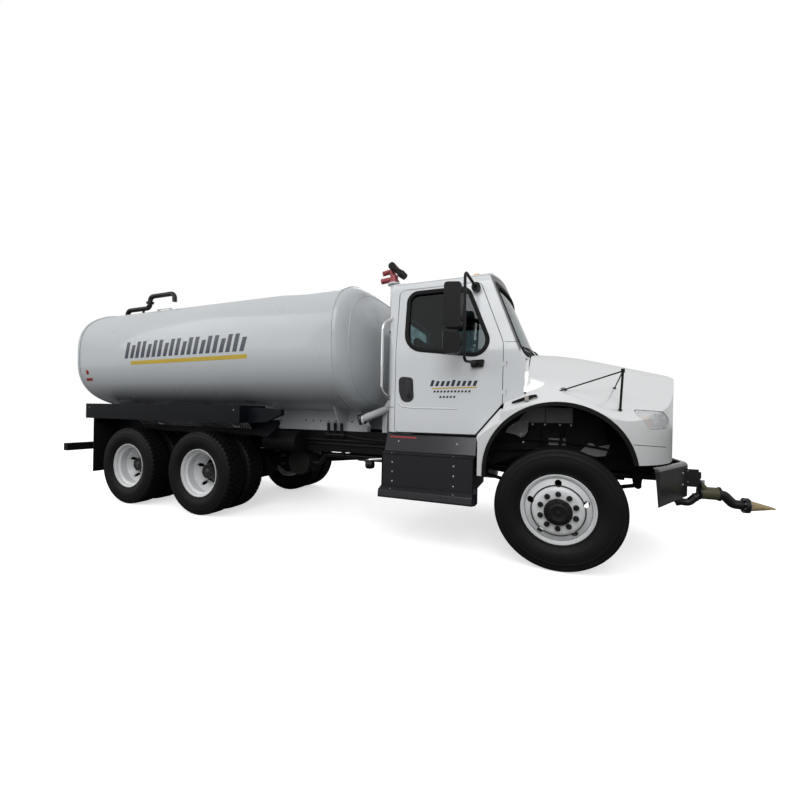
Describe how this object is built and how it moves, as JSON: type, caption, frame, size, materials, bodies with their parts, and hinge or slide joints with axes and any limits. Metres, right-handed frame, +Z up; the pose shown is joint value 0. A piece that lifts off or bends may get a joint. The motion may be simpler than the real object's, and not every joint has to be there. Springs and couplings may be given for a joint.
{
  "type": "six-wheel water tanker truck",
  "caption": "Conventional-cab truck with a squared oval water tank over a tandem rear, side trays, rear fill pipe, top-mounted monitor and a front spray nozzle",
  "frame": {"origin": "On the ground under the middle of the truck's length and width, so the tyres stand on Z = 0", "axes": "+X points forward towards the hood and the spray nozzle, +Y to the truck's left, +Z up; the truck is near-symmetric about the XZ plane"},
  "size_m": [8.595, 2.69, 3.2263],
  "materials": {
    "white_paint": "gloss",
    "white_rim": "gloss",
    "gloss_black": "gloss",
    "black_frame": "satin",
    "red_paint": "satin",
    "black_pipe": "satin",
    "steel": "brushed",
    "aluminium": "satin",
    "cast_iron": "matte",
    "chrome": "polished",
    "tyre": "matte",
    "black_rubber": "matte",
    "black_plastic": "matte",
    "fabric": "matte",
    "amber": "gloss",
    "lamp_glass": "gloss",
    "glass": "gloss"
  },
  "bodies": {
    "chassis": {"air_tanks": "black_frame", "cab_glass": "glass", "cab_shell": "white_paint", "crossmembers": "black_frame", "dashboard": "black_plastic", "drive_axles": "cast_iron", "drive_shafts": "cast_iron", "engine_block": "cast_iron", "exhaust": "steel", "fill_pipe": "black_pipe", "frame_brackets": "black_frame", "frame_rails": "black_frame", "front_axle": "cast_iron", "front_bumper": "gloss_black", "front_spray_head": "black_pipe", "fuel_tank": "aluminium", "grab_handles": "chrome", "leaf_springs": "cast_iron", "monitor_riser": "white_paint", "mud_flaps": "black_rubber", "radiator": "aluminium", "rear_bumper": "black_frame", "roof_lamps": "amber", "seats": "fabric", "side_box": "gloss_black", "side_trays": "black_frame", "supply_pipe": "black_pipe", "tank_cradle": "white_paint", "water_pump": "cast_iron", "water_tank": "white_paint"},
    "hood": {"hood_shell": "white_paint", "headlamps": "lamp_glass", "grille": "chrome", "fender_lips": "black_rubber", "fender_rods": "black_frame"},
    "door_left": {"door_left": "white_paint", "door_glass_left": "glass", "mirror_left": "black_plastic"},
    "door_right": {"door_right": "white_paint", "door_glass_right": "glass", "mirror_right": "black_plastic"},
    "steer_knuckle_left": {"knuckle_left": "cast_iron"},
    "steer_knuckle_right": {"knuckle_right": "cast_iron"},
    "steering_link": {"tie_rod": "cast_iron"},
    "front_wheel_left": {"tyre_front_left": "tyre", "wheel_front_left": "white_rim"},
    "front_wheel_right": {"tyre_front_right": "tyre", "wheel_front_right": "white_rim"},
    "mid_wheels_left": {"tyres_mid_left": "tyre", "wheels_mid_left": "white_rim"},
    "mid_wheels_right": {"tyres_mid_right": "tyre", "wheels_mid_right": "white_rim"},
    "rear_wheels_left": {"tyres_rear_left": "tyre", "wheels_rear_left": "white_rim"},
    "rear_wheels_right": {"tyres_rear_right": "tyre", "wheels_rear_right": "white_rim"},
    "manhole_lid": {"manhole_lid": "white_paint"},
    "monitor_swivel": {"monitor_head": "red_paint"},
    "monitor_barrel": {"monitor_barrel": "black_plastic"}
  },
  "joints": [
    {"name": "hood_tilt", "type": "hinge", "parent": "chassis", "child": "hood", "pos_m": [3.5075, 0, 1], "axis": [0, 1, 0], "range_deg": [0, 75]},
    {"name": "door_left_hinge", "type": "hinge", "parent": "chassis", "child": "door_left", "pos_m": [2.1305, 1.024, 1.56], "axis": [0, 0, -1], "range_deg": [0, 65]},
    {"name": "door_right_hinge", "type": "hinge", "parent": "chassis", "child": "door_right", "pos_m": [2.1305, -1.024, 1.56], "axis": [0, 0, 1], "range_deg": [0, 65]},
    {"name": "steer_left", "type": "hinge", "parent": "chassis", "child": "steer_knuckle_left", "pos_m": [2.5825, 0.862, 0.525], "axis": [0, 0, 1], "range_deg": [-35, 35]},
    {"name": "steer_right", "type": "hinge", "parent": "chassis", "child": "steer_knuckle_right", "pos_m": [2.5825, -0.862, 0.525], "axis": [0, 0, 1], "range_deg": [-35, 35]},
    {"name": "tie_rod_end", "type": "hinge", "parent": "steer_knuckle_left", "child": "steering_link", "pos_m": [2.4125, 0.862, 0.391], "axis": [0, 0, 1], "range_deg": [-35, 35]},
    {"name": "front_left_spin", "type": "hinge", "parent": "steer_knuckle_left", "child": "front_wheel_left", "pos_m": [2.5825, 1.025, 0.525], "axis": [0, 1, 0], "continuous": true},
    {"name": "front_right_spin", "type": "hinge", "parent": "steer_knuckle_right", "child": "front_wheel_right", "pos_m": [2.5825, -1.025, 0.525], "axis": [0, 1, 0], "continuous": true},
    {"name": "mid_left_spin", "type": "hinge", "parent": "chassis", "child": "mid_wheels_left", "pos_m": [-1.4875, 0.9165, 0.525], "axis": [0, 1, 0], "continuous": true},
    {"name": "mid_right_spin", "type": "hinge", "parent": "chassis", "child": "mid_wheels_right", "pos_m": [-1.4875, -0.9165, 0.525], "axis": [0, 1, 0], "continuous": true},
    {"name": "rear_left_spin", "type": "hinge", "parent": "chassis", "child": "rear_wheels_left", "pos_m": [-2.8075, 0.9165, 0.525], "axis": [0, 1, 0], "continuous": true},
    {"name": "rear_right_spin", "type": "hinge", "parent": "chassis", "child": "rear_wheels_right", "pos_m": [-2.8075, -0.9165, 0.525], "axis": [0, 1, 0], "continuous": true},
    {"name": "manhole_hinge", "type": "hinge", "parent": "chassis", "child": "manhole_lid", "pos_m": [-3.4175, 0.297, 2.9358], "axis": [-1, 0, 0], "range_deg": [0, 100]},
    {"name": "monitor_turn", "type": "hinge", "parent": "chassis", "child": "monitor_swivel", "pos_m": [0.7325, -0.3, 2.915], "axis": [0, 0, 1], "range_deg": [-120, 120]},
    {"name": "monitor_elevation", "type": "hinge", "parent": "monitor_swivel", "child": "monitor_barrel", "pos_m": [0.7325, -0.3, 3.105], "axis": [0, -1, 0], "range_deg": [0, 80]}
  ],
  "couplings": [
    {"joint": "steer_right", "follows": "steer_left", "ratio": 1},
    {"joint": "tie_rod_end", "follows": "steer_left", "ratio": -1}
  ]
}
